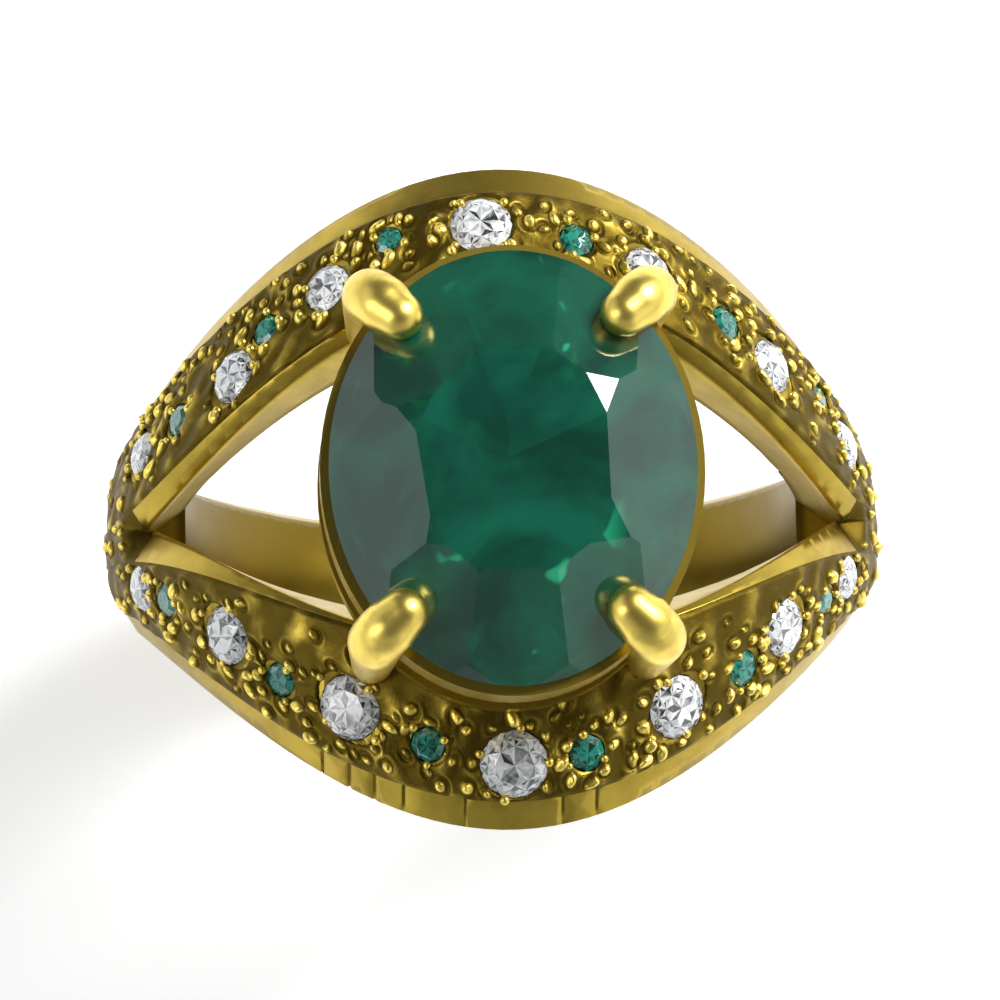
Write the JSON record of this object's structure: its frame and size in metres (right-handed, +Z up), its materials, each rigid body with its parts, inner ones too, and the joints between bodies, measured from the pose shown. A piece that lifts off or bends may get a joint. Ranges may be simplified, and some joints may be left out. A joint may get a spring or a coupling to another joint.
{
  "type": "cocktail ring",
  "caption": "Split-shank cocktail ring: an oval green centre stone in a claw basket between arms set with diamonds and small emeralds.",
  "frame": {"origin": "centre of the finger hole, half way along its wall", "axes": "+Z up through the centre stone, +Y along the finger towards the back arm, +X across the finger"},
  "size_m": [0.0214, 0.0176, 0.0265],
  "materials": {
    "gold": "satin to polished yellow gold",
    "emerald": "deep green, clear, with clouds inside",
    "small_emerald": "clear green",
    "diamond": "clear, brilliant cut"
  },
  "bodies": {
    "root": {"back_arm": "gold", "back_diamond_1": "diamond", "back_diamond_2": "diamond", "back_diamond_3": "diamond", "back_diamond_4": "diamond", "back_diamond_5": "diamond", "back_diamond_6": "diamond", "back_diamond_7": "diamond", "back_emerald_1": "small_emerald", "back_emerald_2": "small_emerald", "back_emerald_3": "small_emerald", "back_emerald_4": "small_emerald", "back_emerald_5": "small_emerald", "back_emerald_6": "small_emerald", "base_rail": "gold", "centre_emerald": "emerald", "front_arm": "gold", "front_diamond_1": "diamond", "front_diamond_2": "diamond", "front_diamond_3": "diamond", "front_diamond_4": "diamond", "front_diamond_5": "diamond", "front_diamond_6": "diamond", "front_diamond_7": "diamond", "front_emerald_1": "small_emerald", "front_emerald_2": "small_emerald", "front_emerald_3": "small_emerald", "front_emerald_4": "small_emerald", "front_emerald_5": "small_emerald", "front_emerald_6": "small_emerald", "prong_back_left": "gold", "prong_back_right": "gold", "prong_front_left": "gold", "prong_front_right": "gold", "seat_rail": "gold", "shank": "gold"}
  },
  "joints": []
}
